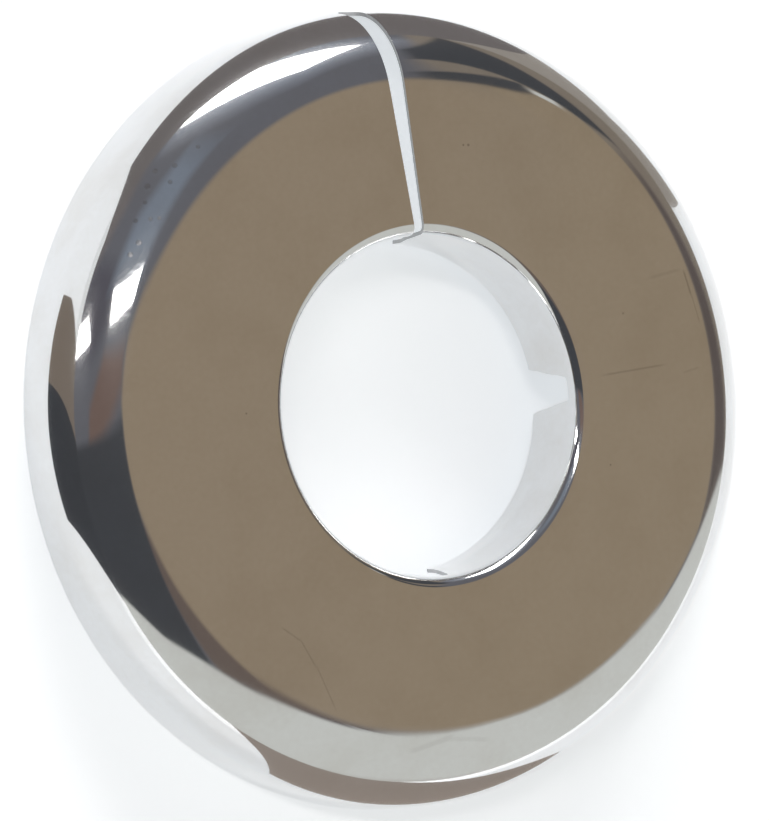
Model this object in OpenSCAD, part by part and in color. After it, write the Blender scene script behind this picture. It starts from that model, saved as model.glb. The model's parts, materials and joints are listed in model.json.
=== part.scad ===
// Split pipe rosette: one pressed sheet-metal ring that covers the hole round a pipe.
// The flat face turns down into a rounded rim outside and into a short pipe collar inside.
// A slit lets the ring be twisted open and snapped round the pipe.
// The back rim lies in the plane z = 0, against the wall, and +Z is the pipe's axis.

/* [Plate] */
// Outside diameter of the plate at its back rim
plate_d = 82.55; // [76:0.05:110]
// Height of the front face above the wall
plate_h = 11.1; // [10:0.1:16]
// Thickness of the sheet
sheet_t = 0.4; // [0.3:0.05:0.7]
// Outside radius of the bend from the face into the skirt
rim_bend_r = 8; // [5:0.1:9]
// Lean of the skirt from upright, in degrees
skirt_lean = 5.2; // [1:0.1:12]

/* [Pipe collar] */
// Outside diameter of the pipe that the plate fits
pipe_d = 33.4; // [26.7:0.1:42.4]
// Gap on the radius between the pipe and the collar
pipe_gap = 0.25; // [0.1:0.05:0.5]
// Depth of the collar below the front face
collar_depth = 8; // [6:0.1:9]
// Height of the straight land at the collar's back edge
land_h = 2.4; // [1.5:0.1:3.5]
// Lean of the collar's wall between the land and the lip, in degrees
collar_lean = 6.5; // [2:0.1:12]
// Outside radius of the lip between the face and the collar
lip_r = 1.15; // [0.9:0.05:1.4]

/* [Relief cuts] */
// Width of each relief cut at its root
cut_root_w = 2.3; // [1.4:0.1:3]
// Width of each relief cut at the collar's back edge
cut_mouth_w = 4.6; // [3.2:0.1:6]
// Depth of each cut's root below the front face
cut_root_depth = 1.8; // [1.5:0.1:3]
// Radius of the one rounded corner at each cut's root
cut_corner_r = 0.45; // [0.2:0.05:0.6]
// Angle by which the slit's relief cut strays from its quarter turn
slit_cut_stray = 1; // [0:0.1:2]
// Angle by which the relief cut opposite the slit strays from its quarter turn
far_cut_stray = -1.5; // [-3:0.1:3]

/* [Slit] */
// Width of the slit at the collar
slit_in_w = 1.05; // [0.6:0.05:2]
// Width of the slit at the back rim
slit_out_w = 2.25; // [1.2:0.05:4]
// Skew of the slit from a true radius, in degrees
slit_skew = 3.1; // [0:0.1:6]
// Distance from the pipe's axis at which the slit crosses the Y axis
slit_cross_r = 29.2; // [25:0.1:34]

/* [Hidden] */
$fn = 160;
metal = [0.72, 0.73, 0.74];

// How far every cut runs past the metal it goes through
past = 1;

// Rim: the bend's centre, the point where the skirt leaves it, and the flat face's edge
plate_r = plate_d / 2;
bend_z = plate_h - rim_bend_r;
skirt_top_z = bend_z + rim_bend_r * sin(skirt_lean);
skirt_top_r = plate_r - skirt_top_z * tan(skirt_lean);
face_r = skirt_top_r - rim_bend_r * cos(skirt_lean);

// Collar: the land that guides the pipe, and the leaning wall above it
bore_r = pipe_d / 2 + pipe_gap;
collar_back_z = plate_h - collar_depth;
land_top_z = collar_back_z + land_h;
lip_z = plate_h - lip_r;
wall_top_z = lip_z + lip_r * sin(collar_lean);
wall_top_r = bore_r + (wall_top_z - land_top_z) * tan(collar_lean);
lip_centre_r = wall_top_r + lip_r * cos(collar_lean);

// Relief cuts: where the root lies, and how fast the sides spread towards the back
cut_root_z = plate_h - cut_root_depth;
cut_h = cut_root_z - collar_back_z;
cut_spread = (cut_mouth_w - cut_root_w) / 2 / cut_h;
cut_side_lean = atan(cut_spread);
cut_angles = [0, 90 + slit_cut_stray, 180, 270 + far_cut_stray];

function on_circle(centre, radius, angle) = centre + radius * [cos(angle), sin(angle)];

// Half of a ring of sheet about the origin, on one side of the X axis
module half_ring(outside_r, side) {
  difference() {
    circle(r = outside_r);
    circle(r = outside_r - sheet_t);
    mirror([0, side])
      translate([-2 * outside_r, 0])
        square([4 * outside_r, 2 * outside_r]);
  }
}

// Rim: the bend from the face, and the leaning skirt that ends at the wall
module rim_section() {
  intersection() {
    translate([face_r, bend_z])
      rotate(skirt_lean)
        half_ring(rim_bend_r, 1);
    translate([face_r, -past])
      square([plate_r, plate_h + 2 * past]);
  }
  intersection() {
    translate([face_r, bend_z])
      rotate(skirt_lean)
        polygon([
          [rim_bend_r, 0],
          [rim_bend_r - sheet_t, 0],
          [rim_bend_r - sheet_t, -2 * plate_h],
          [rim_bend_r, -2 * plate_h]
        ]);
    square([2 * plate_r, plate_h]);
  }
}

// Everything behind the collar's wall, or behind a wall that lies deeper by inset
module behind_collar(inset, over) {
  intersection() {
    translate([lip_centre_r, lip_z])
      rotate(180 - collar_lean)
        translate([-plate_h, -over])
          square([plate_h + lip_r - inset, 2 * plate_h]);
    translate([bore_r + inset, collar_back_z - over])
      square([plate_h, plate_h]);
  }
}

// Collar: the lip's bend, the leaning wall and the straight land
module collar_section() {
  intersection() {
    translate([lip_centre_r, lip_z])
      rotate(180 - collar_lean)
        half_ring(lip_r, 0);
    translate([lip_centre_r - 2 * lip_r, lip_z - 2 * lip_r])
      square([2 * lip_r, 4 * lip_r]);
  }
  difference() {
    behind_collar(0, 0);
    behind_collar(sheet_t, past);
  }
}

// Section of the sheet on the right of the pipe's axis
module section() {
  polygon([
    [lip_centre_r, plate_h - sheet_t],
    [face_r, plate_h - sheet_t],
    [face_r, plate_h],
    [lip_centre_r, plate_h]
  ]);
  rim_section();
  collar_section();
}

// Outline of one relief cut, seen along the radius: across the cut, and up
module relief_outline() {
  root = cut_root_w / 2;
  foot_z = collar_back_z - past;
  foot = root + (cut_root_z - foot_z) * cut_spread;
  // The rounded corner touches the root line and one leaning side
  tangent = cut_corner_r * tan(45 - cut_side_lean / 2);
  round_at = [root - tangent, cut_root_z - cut_corner_r];
  translate(round_at)
    circle(r = cut_corner_r);
  polygon([
    [-root, cut_root_z],
    [root - tangent, cut_root_z],
    round_at,
    on_circle(round_at, cut_corner_r, cut_side_lean),
    [foot, foot_z],
    [-foot, foot_z]
  ]);
}

// Block that cuts one relief through the collar's wall
module relief_cut(angle) {
  rotate([0, 0, angle])
    translate([bore_r - past, 0, 0])
      rotate([90, 0, 90])
        linear_extrude(lip_centre_r - bore_r + past)
          relief_outline();
}

// Wedge that cuts the slit from the collar out through the rim
module slit_cut() {
  in_y = bore_r - past;
  out_y = plate_r + past;
  spread = (slit_out_w - slit_in_w) / (plate_r - bore_r);
  in_half = (slit_in_w - past * spread) / 2;
  out_half = (slit_out_w + past * spread) / 2;
  translate([0, slit_cross_r, -past])
    rotate([0, 0, slit_skew])
      translate([0, -slit_cross_r, 0])
        linear_extrude(plate_h + 2 * past)
          polygon([[-in_half, in_y], [in_half, in_y], [out_half, out_y], [-out_half, out_y]]);
}

module rosette() {
  color(metal)
    difference() {
      rotate_extrude()
        section();
      for (angle = cut_angles)
        relief_cut(angle);
      slit_cut();
    }
}

rosette();
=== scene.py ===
# Split pipe rosette: one pressed and chrome-plated sheet ring, lying on its open back on a pale floor.
import json
import math

import bpy
import numpy as np
from mathutils import Matrix, Quaternion, Vector


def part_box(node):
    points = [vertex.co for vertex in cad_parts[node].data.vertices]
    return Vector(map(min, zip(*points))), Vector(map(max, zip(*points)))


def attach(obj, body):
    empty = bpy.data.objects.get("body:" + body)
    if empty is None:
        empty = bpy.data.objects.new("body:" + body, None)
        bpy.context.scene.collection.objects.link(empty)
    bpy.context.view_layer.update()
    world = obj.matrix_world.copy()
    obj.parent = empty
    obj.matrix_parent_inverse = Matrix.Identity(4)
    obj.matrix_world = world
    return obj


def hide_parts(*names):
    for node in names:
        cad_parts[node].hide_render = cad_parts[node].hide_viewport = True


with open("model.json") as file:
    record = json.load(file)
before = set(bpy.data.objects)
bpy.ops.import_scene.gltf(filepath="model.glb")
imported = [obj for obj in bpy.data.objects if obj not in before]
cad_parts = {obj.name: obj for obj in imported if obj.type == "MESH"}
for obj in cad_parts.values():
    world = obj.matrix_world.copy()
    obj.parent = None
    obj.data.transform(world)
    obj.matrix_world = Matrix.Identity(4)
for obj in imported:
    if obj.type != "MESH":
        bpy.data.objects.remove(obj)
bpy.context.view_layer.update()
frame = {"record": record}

MM = 0.001

# Camera: place, aim and roll found by fitting the plate's outlines in the photograph
CAMERA_AT = Vector((-0.31830, 0.01260, 0.53089))
CAMERA_AIM = Vector((0.00054, -0.00015, 0.00033))
CAMERA_ROLL = 85.64
CAMERA_LENS = 262.47

# Sizes of the sheet in millimetres, as in the part's source
SHEET = 0.4
RIM_BEND = 8.0
SKIRT_LEAN = 5.2
COLLAR_LEAN = 6.5
LIP_BEND = 1.15
CUT_ROOT_W = 2.3
CUT_MOUTH_W = 4.6
CUT_ROOT_DEPTH = 1.8
CUT_CORNER = 0.45
CUT_ANGLES = (91.0, 180.0, 268.5, 360.0)
SLIT_IN_W = 1.05
SLIT_OUT_W = 2.25
SLIT_SKEW = 3.1
SLIT_CROSS = 29.2

# The plate's own size, and the land that guides the pipe, come from the frame
plate_low, plate_high = (np.array(corner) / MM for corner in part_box("rosette"))
PLATE_R = plate_high[0]
PLATE_H = plate_high[2]
bore = next(mount for mount in frame["record"]["mounts"] if mount["name"] == "pipe")
BORE_R = bore["dims"]["r_mm"]
LAND_H = bore["dims"]["length_mm"]
COLLAR_BACK = bore["pos_m"][2] / MM - LAND_H / 2
CUT_ROOT = PLATE_H - CUT_ROOT_DEPTH

# What the chrome sends back of the light that reaches it
CHROME = (0.72, 0.73, 0.74)

# Fine dark lines on the face in millimetres in plan: start, end, width, and how dark from 0 to 1. Some are
# scratches; those along creases are painted shade
STROKES = [
    ((20.3, 0.95), (29.0, 1.3), 0.16, 0.22),
    ((24.5, 1.1), (27.5, 1.25), 0.12, 0.24),
    ((30.6, 0.2), (33.0, 0.6), 0.16, 0.1),
    ((27.5, 10.4), (32.0, 11.0), 0.25, 0.1),
    ((32.2, 11.0), (32.9, 7.9), 0.18, 0.3),
    ((32.8, 8.6), (33.6, 5.0), 0.12, 0.18),
    ((-20.8, -20.1), (-18.4, -22.0), 0.14, 0.18),
    ((-18.8, -21.4), (-17.1, -24.9), 0.14, 0.2),
    ((-17.3, -24.1), (-15.4, -29.4), 0.14, 0.16),
    ((-7.5, -34.6), (-1.5, -33.6), 0.4, 0.1),
    ((-3.0, -33.8), (2.5, -34.6), 0.35, 0.08),
]

# Pits in the plating in millimetres: place and radius
PITS = [
    (-31.4, 19.6, 10.0, 0.42), (-32.4, 18.5, 9.8, 0.38), (-23.5, 28.5, 10.0, 0.3), (-26.2, 26.9, 9.7, 0.38),
    (-28.0, 26.6, 8.8, 0.36), (-29.1, 25.1, 8.9, 0.42), (-27.1, 25.3, 10.0, 0.34), (-29.0, 21.8, 10.4, 0.3),
    (-29.8, 21.8, 10.0, 0.34), (-31.1, 21.8, 9.3, 0.32), (-29.8, 23.5, 9.3, 0.3), (6.9, 26.1, 11.1, 0.16),
    (7.5, 26.05, 11.1, 0.2), (24.1, 7.1, 11.1, 0.14), (20.5, -8.35, 11.1, 0.14), (-22.0, 1.5, 11.1, 0.14),
]


def camera():
    """The photograph's camera: no shift and no depth of field."""
    data = bpy.data.cameras.new("camera")
    data.lens = CAMERA_LENS
    data.clip_start = 0.01
    data.clip_end = 20
    eye = bpy.data.objects.new("camera", data)
    eye.location = CAMERA_AT
    eye.rotation_mode = "QUATERNION"
    aim = (CAMERA_AIM - CAMERA_AT).to_track_quat("-Z", "Y")
    eye.rotation_quaternion = aim @ Quaternion((0, 0, 1), math.radians(CAMERA_ROLL))
    bpy.context.scene.collection.objects.link(eye)
    bpy.context.scene.camera = eye


# Section of the sheet

def section_path():
    """Radius, height and heading of the front surface along the section.

    It runs from the collar's back edge up, over the lip and out to the back rim.
    """
    step = 0.01
    rim_turn = 90 - SKIRT_LEAN
    lip_turn = 90 - COLLAR_LEAN
    lip_z = PLATE_H - LIP_BEND
    wall_top = lip_z + LIP_BEND * math.sin(math.radians(COLLAR_LEAN))
    wall_rise = wall_top - (COLLAR_BACK + LAND_H)
    wall = wall_rise / math.cos(math.radians(COLLAR_LEAN))
    lip_centre = BORE_R + wall_rise * math.tan(math.radians(COLLAR_LEAN))
    lip_centre += LIP_BEND * math.cos(math.radians(COLLAR_LEAN))
    skirt_z = PLATE_H - RIM_BEND + RIM_BEND * math.sin(math.radians(SKIRT_LEAN))
    skirt = skirt_z / math.cos(math.radians(SKIRT_LEAN))
    face_r = PLATE_R - skirt_z * math.tan(math.radians(SKIRT_LEAN))
    face_r -= RIM_BEND * math.cos(math.radians(SKIRT_LEAN))
    lip = math.radians(lip_turn) * LIP_BEND
    rim = math.radians(rim_turn) * RIM_BEND
    # Ends of the stretches along the path: land, wall, lip, face, rim, skirt
    ends = np.cumsum([LAND_H, wall, lip, face_r - lip_centre, rim, skirt])
    along = np.arange(0, ends[-1] + step, step)
    heading = np.interp(
        along,
        [LAND_H, LAND_H, ends[1], ends[2], ends[3], ends[4]],
        [90, lip_turn, lip_turn, 0, 0, -rim_turn],
    )
    heading[along < LAND_H] = 90
    # A pressed bend has no sudden start: each turn eases in and out
    tight = eased(heading, round(0.3 / step))
    wide = eased(heading, round(1.6 / step))
    heading = np.radians(np.where(along < (ends[2] + ends[3]) / 2, tight, wide))
    r = BORE_R + np.cumsum(np.cos(heading)) * step
    z = COLLAR_BACK + np.cumsum(np.sin(heading)) * step
    return along, r, z - z[-1], heading, ends


def eased(values, width):
    """Running mean over a number of samples, with the end values carried on."""
    half = width // 2
    padded = np.pad(values, half, mode="edge")
    return np.convolve(padded, np.ones(2 * half + 1) / (2 * half + 1), mode="valid")[: len(values)]


ALONG, PATH_R, PATH_Z, HEADING, ENDS = section_path()


def section_rows():
    """Places of the mesh's rows along the path, closer together in the bends and at the edges."""
    land, wall, lip, face, rim, skirt = ENDS
    root = float(np.interp(CUT_ROOT, PATH_Z[ALONG < wall], ALONG[ALONG < wall]))
    edge = 0.12
    rows = [
        [0, edge],
        np.linspace(0.4, root - 0.55, 13),
        root - CUT_CORNER * (1 - np.sin(np.linspace(0.1, math.pi / 2, 6))),
        np.linspace(root + 0.2, wall - 0.1, 3),
        np.linspace(wall, lip, 15),
        np.linspace(lip + 0.35, face - 0.5, 22),
        np.linspace(face, rim, 36),
        np.linspace(rim + 0.4, skirt - 0.5, 6),
        [skirt - edge, skirt],
    ]
    rows = np.concatenate(rows)
    return rows, int(np.argmin(abs(rows - root)))


# Slit and relief cuts

def slit_line(side):
    """Two points in plan on one straight edge of the slit: side is -1 on the left and 1 on the right."""
    turn = Matrix.Rotation(math.radians(SLIT_SKEW), 2)
    cross = Vector((0, SLIT_CROSS))
    inner = Vector((side * SLIT_IN_W / 2, BORE_R))
    outer = Vector((side * SLIT_OUT_W / 2, PLATE_R))
    return [cross + turn @ (point - cross) for point in (inner, outer)]


def slit_angle(side, radius):
    """Angle in degrees at which one edge of the slit crosses a circle."""
    start, end = slit_line(side)
    step = (end - start).normalized()
    off = start.dot(step)
    reach = np.sqrt(np.asarray(radius) ** 2 - (start.length_squared - off**2)) - off
    return np.degrees(np.arctan2(start.y + step.y * reach, start.x + step.x * reach))


def cut_half(side, z):
    """Half width of a relief cut at a height. Side 1 has the one rounded corner at the root."""
    spread = (CUT_MOUTH_W - CUT_ROOT_W) / 2 / (CUT_ROOT - COLLAR_BACK)
    half = CUT_ROOT_W / 2 + (CUT_ROOT - z) * spread
    if side < 0:
        return half
    lean = math.atan(spread)
    centre = CUT_ROOT_W / 2 - CUT_CORNER * math.tan(math.pi / 4 - lean / 2)
    rise = z - (CUT_ROOT - CUT_CORNER)
    if rise < CUT_CORNER * math.sin(lean):
        return half
    return centre + math.sqrt(max(CUT_CORNER**2 - rise**2, 0))


def cut_angle(cut, side, r, z):
    """Angle of one side of a relief cut at a point of the collar, with the small waver of a snipped edge."""
    depth = CUT_ROOT - z
    waver = 0.035 * math.sin(2.1 * z + 1.7 * cut + side) * min(depth / 1.5, 1)
    return cut + side * math.degrees(math.asin((cut_half(side, z) + waver) / r))


def columns(root_r, root_z):
    """Angles of the mesh's columns at the relief cuts' roots, and each tab's first and last column.

    They run counter-clockwise from the slit's left edge to its right edge. Each corner of each cut has one.
    """
    first = float(slit_angle(-1, root_r))
    last = float(slit_angle(1, root_r)) + 360
    angles = [first]
    tabs = []
    for index, cut in enumerate(CUT_ANGLES):
        if index:
            add_columns(angles, cut_angle(cut, -1, root_r, root_z), 1.15, 0.4)
            tabs[-1].append(len(angles) - 1)
        add_columns(angles, cut_angle(cut, 1, root_r, root_z), 0.75, 0.4)
        tabs.append([len(angles) - 1])
    add_columns(angles, last, 1.15, 0.3)
    tabs[-1].append(len(angles) - 1)
    return np.array(angles), tabs


def add_columns(angles, end, spacing, edge):
    """Adds evenly spaced columns up to an angle, with a closer one beside each end."""
    start = angles[-1]
    count = max(2, round((end - start - 2 * edge) / spacing))
    angles.extend(np.linspace(start + edge, end - edge, count + 1))
    angles.append(end)


def fade(distance, reach):
    """1 at an edge, falling smoothly to 0 at a distance from it."""
    return np.clip(1 - distance / reach, 0, 1) ** 2


def ring_points(rows, root_row):
    """Places of all mesh points in millimetres by row and column, and the tabs' first and last columns."""
    r_rows = np.interp(rows, ALONG, PATH_R)
    z_rows = np.interp(rows, ALONG, PATH_Z)
    base, tabs = columns(r_rows[root_row], z_rows[root_row])
    left = fade(base - base[0], 22)
    right = fade(base[-1] - base, 22)
    points = np.zeros((len(rows), len(base), 3))
    for row, (r, z) in enumerate(zip(r_rows, z_rows)):
        angle = base + (slit_angle(-1, r) - base[0]) * left + (slit_angle(1, r) + 360 - base[-1]) * right
        if row < root_row:
            for tab, (start, end) in enumerate(tabs):
                angle[start : end + 1] = tab_angles(base[start : end + 1], tab, r, z)
        turn = np.radians(angle)
        points[row] = np.stack([r * np.cos(turn), r * np.sin(turn), np.full_like(turn, z)], -1)
    return points, tabs


def tab_angles(base, tab, r, z):
    """Column angles across one tab at a height: the ends follow the cuts beside it."""
    start = cut_angle(CUT_ANGLES[tab], 1, r, z)
    if tab + 1 < len(CUT_ANGLES):
        end = cut_angle(CUT_ANGLES[tab + 1], -1, r, z)
    else:
        end = min(float(slit_angle(1, r)), cut_angle(CUT_ANGLES[0], -1, r, z)) + 360
    reach = 9
    moved = base + (start - base[0]) * fade(base - base[0], reach)
    return moved + (end - base[-1]) * fade(base[-1] - base, reach)


def sheet_mesh():
    """The whole ring as one closed shell: front, back and cut edges, open at the slit and the relief cuts."""
    rows, root_row = section_rows()
    points, tabs = ring_points(rows, root_row)
    heading = np.interp(rows, ALONG, HEADING)[:, None]
    turn = np.arctan2(points[..., 1], points[..., 0])
    facing = (-np.sin(heading) * np.cos(turn), -np.sin(heading) * np.sin(turn), np.cos(heading) + 0 * turn)
    behind = points - SHEET * np.stack(facing, -1)
    behind[..., 2] = np.maximum(behind[..., 2], 0)
    count = points.shape[1]
    in_tab = np.zeros(count - 1, bool)
    for start, end in tabs:
        in_tab[start:end] = True
    front = []
    for row in range(len(rows) - 1):
        for column in range(count - 1):
            if row >= root_row or in_tab[column]:
                low = row * count + column
                front.append((low, low + count, low + count + 1, low + 1))
    size = points.shape[0] * count
    back = [tuple(corner + size for corner in reversed(quad)) for quad in front]
    edges = {(quad[i], quad[(i + 1) % 4]) for quad in front for i in range(4)}
    open_edges = sorted((a, b) for a, b in edges if (b, a) not in edges)
    walls = [(b, a, a + size, b + size) for a, b in open_edges]
    faces = front + back + walls
    used = np.unique(np.array(faces))
    place = {int(old): new for new, old in enumerate(used)}
    corners = np.concatenate([points.reshape(-1, 3), behind.reshape(-1, 3)])[used] * MM
    mesh = bpy.data.meshes.new("rosette")
    mesh.from_pydata(corners.tolist(), [], [[place[i] for i in face] for face in faces])
    finish = [0] * len(front) + [1] * len(back) + [2] * len(walls)
    mesh.polygons.foreach_set("material_index", finish)
    mesh.shade_smooth()
    return mesh


def rosette():
    """The whole sheet, with softly broken cut edges."""
    piece = bpy.data.objects.new("pressed_sheet", sheet_mesh())
    bpy.context.scene.collection.objects.link(piece)
    # The darker plating on the cut edges is painted shade
    for material in (chrome(), dull_chrome("chrome_back", 0.6), dull_chrome("chrome_cut_edge_painted_shade", 0.42)):
        piece.data.materials.append(material)
    edges = piece.modifiers.new("cut edges", "BEVEL")
    edges.width = 0.05 * MM
    edges.segments = 2
    edges.limit_method = "ANGLE"
    edges.angle_limit = math.radians(55)
    edges.use_clamp_overlap = True
    edges.harden_normals = True
    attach(piece, "root")
    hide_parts("rosette")
    return piece


# Node helpers

class Nodes:
    """Adds nodes to one material's or world's tree and joins them."""

    def __init__(self, owner):
        owner.use_nodes = True
        self.tree = owner.node_tree
        self.tree.nodes.clear()

    def add(self, kind, inputs=(), **settings):
        """One node. Inputs are sockets or constants, by name or number."""
        node = self.tree.nodes.new("ShaderNode" + kind)
        for name, value in settings.items():
            setattr(node, name, value)
        for name, value in dict(inputs).items():
            self.join(value, node.inputs[name])
        return node

    def join(self, value, socket):
        """Links a socket, or sets a constant."""
        if isinstance(value, bpy.types.NodeSocket):
            self.tree.links.new(value, socket)
        else:
            socket.default_value = value

    def math(self, operation, *values, clamp=False):
        """The result of one sum."""
        node = self.add("Math", dict(enumerate(values)), operation=operation, use_clamp=clamp)
        return node.outputs[0]

    def vector(self, operation, *values):
        """The result of one sum of vectors."""
        node = self.add("VectorMath", dict(enumerate(values)), operation=operation)
        return node.outputs["Value" if operation in ("DOT_PRODUCT", "LENGTH", "DISTANCE") else "Vector"]

    def mix(self, share, low, high):
        """One colour laid over another by a share."""
        node = self.add("Mix", {"Factor": share}, data_type="RGBA")
        self.join(low, node.inputs[6])
        self.join(high, node.inputs[7])
        return node.outputs[2]

    def noise(self, vector, scale, detail=2.0):
        """Noise from 0 to 1 about 0.5."""
        inputs = {"Vector": vector, "Scale": scale, "Detail": detail}
        return self.add("TexNoise", inputs).outputs["Fac"]

    def steps(self, value, low, high, to_low=0.0, to_high=1.0):
        """A value carried from one range to another with soft ends."""
        inputs = {"Value": value, "From Min": low, "From Max": high, "To Min": to_low, "To Max": to_high}
        return self.add("MapRange", inputs, interpolation_type="SMOOTHSTEP").outputs["Result"]


# Chrome

def stroke(nodes, place, start, end, width):
    """1 along a fine line between two places in plan, fading to 0 over its width and towards both ends."""
    length = math.dist(start, end)
    ahead = ((end[0] - start[0]) / length, (end[1] - start[1]) / length)
    reach = nodes.vector("SUBTRACT", place, (*start, 0))
    along = nodes.vector("DOT_PRODUCT", reach, (ahead[0] / length, ahead[1] / length, 0))
    from_middle = nodes.math("ABSOLUTE", nodes.math("SUBTRACT", along, 0.5))
    across = nodes.math("ABSOLUTE", nodes.vector("DOT_PRODUCT", reach, (-ahead[1], ahead[0], 0)))
    inside = nodes.steps(across, width, 0.3 * width)
    return nodes.math("MULTIPLY", inside, nodes.steps(from_middle, 0.52, 0.3))


def marks(nodes, place):
    """How dark each place is with pits in the plating, scratches, and painted shade along creases, from 0 to
    1.
    """
    dark = 0.0
    for start, end, width, depth in STROKES:
        one = nodes.math("MULTIPLY", stroke(nodes, place, start, end, width), depth)
        dark = nodes.math("MAXIMUM", dark, one)
    for x, y, z, size in PITS:
        away = nodes.vector("DISTANCE", place, (x, y, z))
        dark = nodes.math("MAXIMUM", dark, nodes.math("MULTIPLY", nodes.steps(away, size, 0.4 * size), 0.5))
    return dark


def chrome():
    """Bright chrome plating on the front: faint clouds and rubbing, a few pits and scratches, and painted
    shade along creases.
    """
    material = bpy.data.materials.new("chrome_front")
    nodes = Nodes(material)
    place = nodes.add("TexCoord").outputs["Object"]
    millimetres = nodes.vector("SCALE", place)
    millimetres.node.inputs["Scale"].default_value = 1 / MM
    smear = nodes.steps(nodes.noise(millimetres, 0.13, 4.0), 0.35, 0.75)
    grain = nodes.noise(millimetres, 1.6, 3.0)
    rubbed = nodes.vector("MULTIPLY", millimetres, (0.2, 2.6, 0.9))
    rub = nodes.steps(nodes.noise(rubbed, 1.0, 3.0), 0.5, 0.8)
    dark = marks(nodes, millimetres)
    clean = tuple(channel * 1.04 for channel in CHROME)
    stained = tuple(channel * share for channel, share in zip(CHROME, (0.93, 0.91, 0.88)))
    share = nodes.math("MULTIPLY_ADD", grain, 0.5, nodes.math("MULTIPLY", smear, 0.5))
    colour = nodes.mix(share, (*clean, 1), (*stained, 1))
    # Pits and scratches darken the colour; along creases this darkening is painted shade
    colour = nodes.mix(dark, colour, (0.2, 0.17, 0.15, 1))
    rough = nodes.math("MULTIPLY_ADD", smear, 0.03, 0.045)
    rough = nodes.math("MULTIPLY_ADD", rub, 0.035, rough)
    rough = nodes.math("MULTIPLY_ADD", dark, 0.25, rough)
    peel = nodes.noise(millimetres, 0.35, 1.0)
    height = nodes.math("MULTIPLY_ADD", dark, -0.6, peel)
    bump = nodes.add("Bump", {"Strength": 0.06, "Distance": 0.02 * MM, "Height": height})
    shader = nodes.add("BsdfPrincipled", {
        "Base Color": colour,
        "Metallic": 1.0,
        "Roughness": rough,
        "Coat Weight": 1.0,
        "Coat Roughness": 0.26,
        "Coat IOR": 1.5,
        "Normal": bump.outputs["Normal"],
    })
    nodes.add("OutputMaterial", {"Surface": shader.outputs["BSDF"]})
    return material


def dull_chrome(name, level):
    """Grey, soft plating: thinner plating over the mill finish on the back, and darker on the cut edges as
    painted shade.
    """
    material = bpy.data.materials.new(name)
    nodes = Nodes(material)
    place = nodes.add("TexCoord").outputs["Object"]
    millimetres = nodes.vector("SCALE", place)
    millimetres.node.inputs["Scale"].default_value = 1 / MM
    cloud = nodes.noise(millimetres, 0.2, 4.0)
    darker = (0.85 * level, 0.84 * level, 0.82 * level, 1)
    lighter = (1.07 * level, 1.08 * level, 1.1 * level, 1)
    rough = nodes.math("MULTIPLY_ADD", cloud, 0.2, 0.18)
    colour = nodes.mix(cloud, darker, lighter)
    shader = nodes.add("BsdfPrincipled", {"Base Color": colour, "Metallic": 1.0, "Roughness": rough})
    nodes.add("OutputMaterial", {"Surface": shader.outputs["BSDF"]})
    return material


# Floor and room

def floor():
    """A pale floor that sweeps up gently far behind the object, so that a low view sees no edge."""
    flat_r, wall_r, wall_h = 1.3, 1.42, 0.14
    bend = np.linspace(0, math.pi / 2, 9)
    reach = np.concatenate([[0, 0.05, 0.2, 0.6], flat_r + (wall_r - flat_r) * np.sin(bend)])
    height = np.concatenate([[0, 0, 0, 0], wall_h * (1 - np.cos(bend))])
    turns = 96
    turn = np.linspace(0, 2 * math.pi, turns, endpoint=False)
    points = [(r * math.cos(a), r * math.sin(a), z) for r, z in zip(reach, height) for a in turn]
    quads = [
        (row * turns + i, (row + 1) * turns + i, (row + 1) * turns + j, row * turns + j)
        for row in range(len(reach) - 1)
        for i, j in ((i, (i + 1) % turns) for i in range(turns))
    ]
    mesh = bpy.data.meshes.new("floor")
    mesh.from_pydata(points, [], quads)
    mesh.shade_smooth()
    mesh.materials.append(floor_white())
    ground = bpy.data.objects.new("floor", mesh)
    bpy.context.scene.collection.objects.link(ground)


def floor_white():
    """Pale floor: it keeps the shadows, with a base level that camera, metal and glass see alike."""
    material = bpy.data.materials.new("floor_white")
    nodes = Nodes(material)
    rays = nodes.add("LightPath").outputs
    seen = nodes.math("ADD", rays["Is Camera Ray"], rays["Is Glossy Ray"])
    seen = nodes.math("ADD", seen, rays["Is Transmission Ray"], clamp=True)
    base = nodes.math("MULTIPLY", seen, 0.55)
    paint = nodes.add("BsdfDiffuse", {"Color": (0.8, 0.8, 0.8, 1)})
    glow = nodes.add("Emission", {"Color": (0.95, 1.0, 1.04, 1), "Strength": base})
    both = nodes.add("AddShader", {0: paint.outputs[0], 1: glow.outputs[0]})
    nodes.add("OutputMaterial", {"Surface": both.outputs[0]})
    return material


def seen_in_chrome(red, green, blue, strength=1.0):
    """The light of a part of the room, from the 0 to 255 colour that the chrome shows of it."""
    channels = [((c / 255 + 0.055) / 1.055) ** 2.4 if c > 10 else c / 255 / 12.92 for c in (red, green, blue)]
    return (*(strength * c / metal for c, metal in zip(channels, CHROME)), 1)


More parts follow.
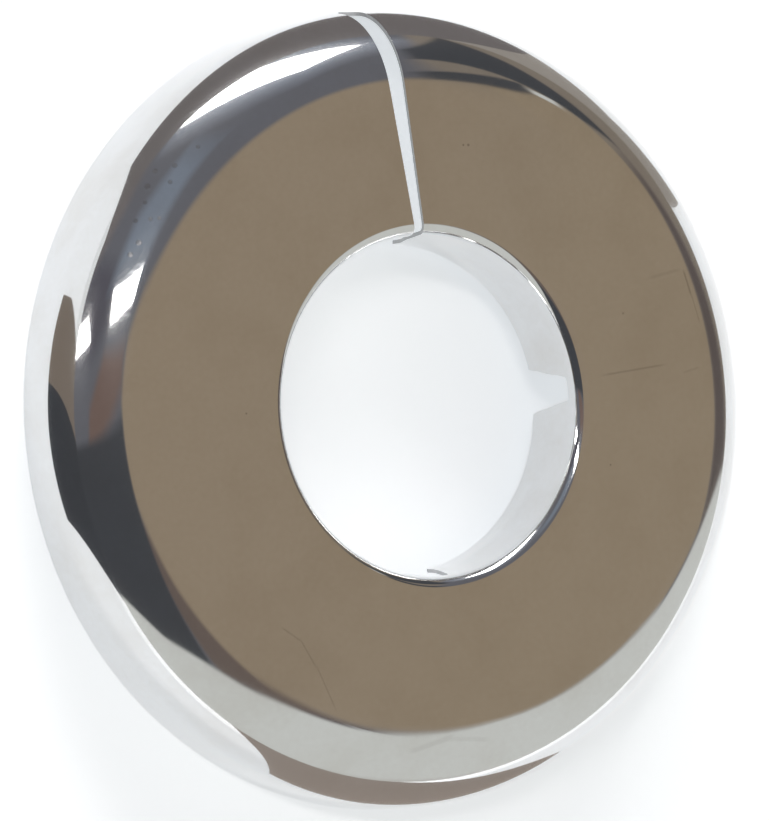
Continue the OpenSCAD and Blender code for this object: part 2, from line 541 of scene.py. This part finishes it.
# The room above the floor, as the plate sees it: shapes on a plan of the sky with the zenith in the middle,
# X to the right and Y up, in degrees from the zenith. Each later shape covers the earlier ones.
BLUE_GREY = seen_in_chrome(92, 93, 99)
CHARCOAL = seen_in_chrome(61, 63, 67)
PAPER = seen_in_chrome(186, 188, 185)
SOFT_BOX = seen_in_chrome(255, 255, 255, 9)
ROOM = [
    # colour, softness of the edge in degrees, corners of a convex shape
    (seen_in_chrome(104, 99, 99), 10, [(-100, 56), (-80, 42), (-45, 62), (-25, 92), (-45, 96)]),
    (seen_in_chrome(76, 75, 83), 8, [(-92, 50), (-60, 52), (-38, 36), (-36, 22), (-60, 20), (-94, 26)]),
    (seen_in_chrome(126, 132, 144), 14, [(-24, 74), (20, 42), (42, 60), (30, 74), (0, 102), (-14, 100)]),
    (seen_in_chrome(108, 116, 128), 10, [(-40, 34), (-8, 20), (4, 34), (-10, 52), (-30, 46)]),
    (seen_in_chrome(117, 109, 100), 3,
     [(33, 3), (60, -14), (110, -14), (110, 40), (58, 95), (46, 64), (36, 32)]),
    (seen_in_chrome(95, 85, 80), 4, [(-13, -10), (-9, -38), (0, -34), (16, -26), (27, -15)]),
    (seen_in_chrome(134, 121, 104), 4,
     [(-14, 4), (-13, -8), (0, -16), (14, -20), (28, -13), (34, -6), (34, 8),
                                        (16, 12), (0, 13), (-9, 11)]),
    (seen_in_chrome(134, 121, 103), 2,
     [(30, -6), (44, -13), (56, -13), (57, 14), (52, 22), (45, 22), (36, 14)]),
    (seen_in_chrome(85, 78, 76), 6, [(58, -14), (82, -14), (76, 6), (62, 20), (57, 16)]),
    (CHARCOAL, 2, [(36, 34), (54, 22), (63, 23), (60, 46), (55, 65), (38, 47)]),
    (CHARCOAL, 1, [(32.5, 7), (44.5, 20), (47, 26), (43, 24), (33, 16)]),
    (PAPER, 1, [(45, 20.5), (48.5, 20.5), (51, 24), (47, 24)]),
    (seen_in_chrome(104, 88, 82), 4, [(-13, 11), (-14, 3), (-45, 0), (-66, -4), (-60, 8), (-40, 17)]),
    (CHARCOAL, 3,
     [(-14, 2), (-100, -2), (-104, -40), (-94, -44), (-80, -47), (-55, -50), (-33, -48), (-12, -40),
                   (-10, -14)]),
    (PAPER, 2, [(45, -14.5), (25, -17), (25, -112), (112, -112), (112, -12.5)]),
    (PAPER, 2, [(32, -7), (46, -14), (46, -20), (26, -18)]),
    (PAPER, 2, [(29, -15.5), (0, -34.5), (0, -112), (29, -112)]),
    (PAPER, 2, [(4, -32.5), (-40, -48), (-40, -112), (4, -112)]),
    (PAPER, 2, [(-36, -47.5), (-110, -49.5), (-110, -112), (-36, -112)]),
    (seen_in_chrome(158, 153, 147), 14, [(10, -88), (60, -68), (80, -100), (20, -112)]),
    (SOFT_BOX, 1, [(-20, 80), (20, 52), (33, 62), (-6, 95)]),
    (SOFT_BOX, 1, [(-37, 30), (-35, 22), (-10, 16.5), (-9, 20.5)]),
    (SOFT_BOX, 1, [(-84, 37), (-80, 27), (-60, 26), (-66, 35)]),
]

# Cards round the picture, as flags that give the chrome its darker outer bands. Each starts on the floor and
# rises slowly outwards. They are seen in reflections alone. Colours as for the room, corners in millimetres.
CARDS = [
    (seen_in_chrome(58, 60, 64), [(-44.6, 8), (-46.4, -9), (-640, -470), (-1200, -470), (-1200, 9)]),
    (seen_in_chrome(112, 103, 95), [(-44.6, 8), (-1200, 9), (-1200, 420), (-52, 24), (-43, 19)]),
    (seen_in_chrome(101, 97, 97), [(-38.8, 46.4), (6, 43.5), (30, 41.9), (700, 800), (-900, 900)]),
    (seen_in_chrome(138, 133, 127), [(30, 41.9), (55.8, 40), (53.4, 22), (1000, 250), (700, 800)]),
    (seen_in_chrome(134, 125, 118), [(-20, -41), (25, -47.4), (300, -900), (-300, -900)]),
]


def cards():
    """Lays out the cards, from just above the floor near the plate to above the floor's sweep far away."""
    lift, near, slope = 0.3, 60, 0.105
    for index, (shade, corners) in enumerate(CARDS):
        material = bpy.data.materials.new(f"card_{index}")
        nodes = Nodes(material)
        glow = nodes.add("Emission", {"Color": shade, "Strength": 1.0})
        nodes.add("OutputMaterial", {"Surface": glow.outputs[0]})
        mesh = bpy.data.meshes.new(f"card_{index}")
        heights = [lift + slope * max(math.hypot(x, y) - near, 0) for x, y in corners]
        points = [(x * MM, y * MM, z * MM) for (x, y), z in zip(corners, heights)]
        mesh.from_pydata(points, [], [list(range(len(corners)))])
        mesh.materials.append(material)
        card = bpy.data.objects.new(f"card_{index}", mesh)
        bpy.context.scene.collection.objects.link(card)
        card.visible_camera = False
        card.visible_diffuse = False
        card.visible_transmission = False
        card.visible_shadow = False


def polygon_mask(nodes, point, corners, soft):
    """1 inside a convex polygon on the plan of the sky and 0 outside it, with a soft edge."""
    mask = None
    turning = sum(ax * by - bx * ay for (ax, ay), (bx, by) in zip(corners, corners[1:] + corners[:1]))
    if turning < 0:
        corners = corners[::-1]
    for (ax, ay), (bx, by) in zip(corners, corners[1:] + corners[:1]):
        length = math.hypot(bx - ax, by - ay)
        inward = ((ay - by) / length, (bx - ax) / length)
        side = nodes.vector("DOT_PRODUCT", point, (*inward, 0))
        offset = 0.5 - (inward[0] * ax + inward[1] * ay) / soft
        side = nodes.math("MULTIPLY_ADD", side, 1 / soft, offset, clamp=True)
        mask = side if mask is None else nodes.math("MINIMUM", mask, side)
    return mask


def room():
    """The soft studio round the plate, as its chrome shows it, painted by direction."""
    world = bpy.data.worlds.new("room")
    bpy.context.scene.world = world
    nodes = Nodes(world)
    direction = nodes.add("TexCoord").outputs["Generated"]
    flat = nodes.vector("MULTIPLY", direction, (1, 1, 0))
    up = nodes.vector("DOT_PRODUCT", direction, (0, 0, 1))
    from_zenith = nodes.math("MULTIPLY", nodes.math("ARCCOSINE", up), math.degrees(1))
    point = nodes.vector("SCALE", nodes.vector("NORMALIZE", flat))
    nodes.join(from_zenith, point.node.inputs["Scale"])
    colour = BLUE_GREY
    for shade, soft, corners in ROOM:
        colour = nodes.mix(polygon_mask(nodes, point, corners, soft), colour, shade)
    light = nodes.add("Background", {"Color": colour, "Strength": 1.0})
    nodes.add("OutputWorld", {"Surface": light.outputs[0]})


camera()
room()
floor()
cards()
rosette()

bpy.context.scene.view_settings.view_transform = "Standard"
